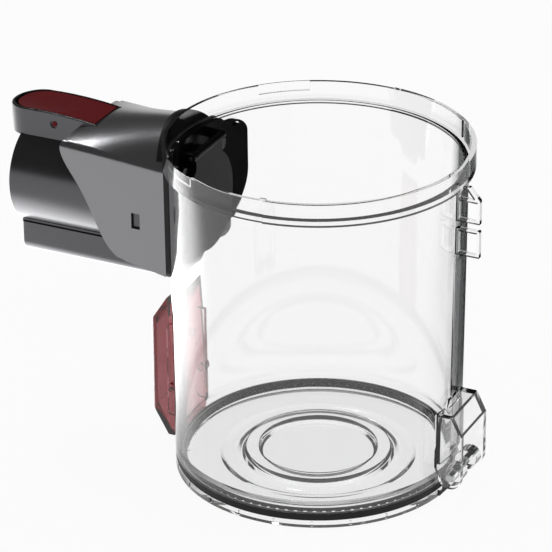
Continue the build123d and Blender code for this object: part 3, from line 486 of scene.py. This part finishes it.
def round_sheet(name, radius, sides, spot, material):
    """Flat round sheet, with its middle at a spot."""
    turns = [math.tau * i / sides for i in range(sides)]
    rim = [(radius * math.cos(turn), radius * math.sin(turn), 0) for turn in turns]
    mesh = bpy.data.meshes.new(name)
    mesh.from_pydata(rim, [], [list(range(sides))])
    mesh.materials.append(material)
    sheet = bpy.data.objects.new(name, mesh)
    sheet.location = spot
    bpy.context.scene.collection.objects.link(sheet)
    return sheet


def lay_floor(studio):
    """Round floor just under the bin."""
    spot = (0, 0, cad_box[0].z - FLOOR_GAP)
    floor = round_sheet("studio_floor", studio.floor_radius, FLOOR_SIDES, spot, white_paint(studio))


def lay_card(name, middle, radius, level):
    """Round card on the floor, seen only in gloss."""
    spot = (*middle, cad_box[0].z - CARD_GAP)
    card = round_sheet(name, radius, CARD_SIDES, spot, fading_card(name, radius, level))
    for ray in ("camera", "diffuse", "transmission", "volume_scatter", "shadow"):
        setattr(card, f"visible_{ray}", False)


def hang_lamp(name, spot, size, power, aim):
    """Soft box lamp turned to an aim point."""
    lamp = bpy.data.lights.new(name, "AREA")
    lamp.shape = "RECTANGLE"
    lamp.size, lamp.size_y = size
    lamp.energy = power
    holder = bpy.data.objects.new(name, lamp)
    holder.location = spot
    holder.rotation_euler = (Vector(aim) - Vector(spot)).to_track_quat("-Z", "Y").to_euler()
    holder.visible_camera = False
    bpy.context.scene.collection.objects.link(holder)


def set_world(studio):
    """Even studio light, white where the backdrop shows, dark above it in gloss and clear plastic."""
    world = bpy.data.worlds.new("studio_world")
    world.use_nodes = True
    tree = world.node_tree
    tree.nodes.clear()
    even = add_node(tree, "ShaderNodeBackground", {"Color": linear("#ffffff"), "Strength": studio.ambient})
    way = add_node(tree, "ShaderNodeTexCoord").outputs["Generated"]
    rise = add_node(tree, "ShaderNodeSeparateXYZ", {0: way}).outputs["Z"]
    low, high = math.sin(studio.backdrop_low), math.sin(studio.backdrop_high)
    fade = add_node(tree, "ShaderNodeMapRange", {
        "Value": rise, "From Min": low, "From Max": high, "To Min": 1.0, "To Max": studio.dark,
    }, interpolation_type="SMOOTHSTEP")
    straight = add_node(tree, "ShaderNodeLightPath").outputs["Is Camera Ray"]
    level = add_node(tree, "ShaderNodeMath", {0: straight, 1: fade.outputs[0]}, operation="MAXIMUM")
    room = add_node(tree, "ShaderNodeBackground", {
        "Color": linear("#ffffff"), "Strength": level.outputs[0],
    })
    shown = add_node(tree, "ShaderNodeMixShader", {
        0: background_ray(tree), 1: even.outputs[0], 2: room.outputs[0],
    })
    add_node(tree, "ShaderNodeOutputWorld", {"Surface": shown.outputs[0]})
    bpy.context.scene.world = world


def place_camera(studio, aim):
    """Camera at the photograph's viewing angle."""
    level = math.cos(studio.pitch)
    across = (math.sin(studio.azimuth) * level, -math.cos(studio.azimuth) * level)
    back = Vector((*across, math.sin(studio.pitch)))
    data = bpy.data.cameras.new("camera")
    data.lens = studio.lens
    data.sensor_width = SENSOR_WIDTH
    data.clip_end = CLIP_END
    camera = bpy.data.objects.new("camera", data)
    camera.location = Vector(aim) + back * studio.distance
    camera.rotation_mode = "QUATERNION"
    camera.rotation_quaternion = (-back).to_track_quat("-Z", "Y") @ Quaternion((0, 1, 0), studio.turn)
    bpy.context.scene.collection.objects.link(camera)
    bpy.context.scene.camera = camera


class DUSTBIN_OT_studio(bpy.types.Operator):
    """Lay the floor, hang the lamps and place the camera"""

    bl_idname = "dustbin.studio"
    bl_label = "Studio"

    def execute(self, context):
        studio = context.scene.bin_studio
        aim = (0, 0, studio.aim_height)
        context.scene.view_settings.view_transform = "Standard"
        lay_floor(studio)
        lay_card("white_card", studio.white_place, studio.white_radius, studio.white_level)
        lay_card("black_card", studio.black_place, studio.black_radius, studio.black_level)
        set_world(studio)
        hang_lamp("key_box", studio.key_place, studio.key_size, studio.key_power, aim)
        hang_lamp("front_box", studio.front_place, studio.front_size, studio.front_power, aim)
        place_camera(studio, aim)
        return {"FINISHED"}


OPERATORS = (
    DUSTBIN_OT_clear_mouldings,
    DUSTBIN_OT_rubber_seals,
    DUSTBIN_OT_inlet,
    DUSTBIN_OT_controls,
    DUSTBIN_OT_metalwork,
    DUSTBIN_OT_studio,
)


class DUSTBIN_PT_panel(bpy.types.Panel):
    """Finishes and studio of the dust bin"""

    bl_idname = "DUSTBIN_PT_panel"
    bl_label = "Dust Bin"
    bl_space_type = "VIEW_3D"
    bl_region_type = "UI"
    bl_category = "Dust Bin"

    def draw(self, context):
        for operator in OPERATORS:
            self.layout.operator(operator.bl_idname)
        for group in (context.scene.bin_finishes, context.scene.bin_studio):
            box = self.layout.box()
            for name in group.__annotations__:
                box.prop(group, name)


CLASSES = (BinFinishes, BinStudio, *OPERATORS, DUSTBIN_PT_panel)


def register():
    for cls in CLASSES:
        bpy.utils.register_class(cls)
    bpy.types.Scene.bin_finishes = bpy.props.PointerProperty(type=BinFinishes)
    bpy.types.Scene.bin_studio = bpy.props.PointerProperty(type=BinStudio)


def unregister():
    del bpy.types.Scene.bin_studio
    del bpy.types.Scene.bin_finishes
    for cls in reversed(CLASSES):
        bpy.utils.unregister_class(cls)


def main():
    register()
    bpy.ops.dustbin.clear_mouldings()
    bpy.ops.dustbin.rubber_seals()
    bpy.ops.dustbin.inlet()
    bpy.ops.dustbin.controls()
    bpy.ops.dustbin.metalwork()
    bpy.ops.dustbin.studio()


if __name__ == "__main__":
    main()
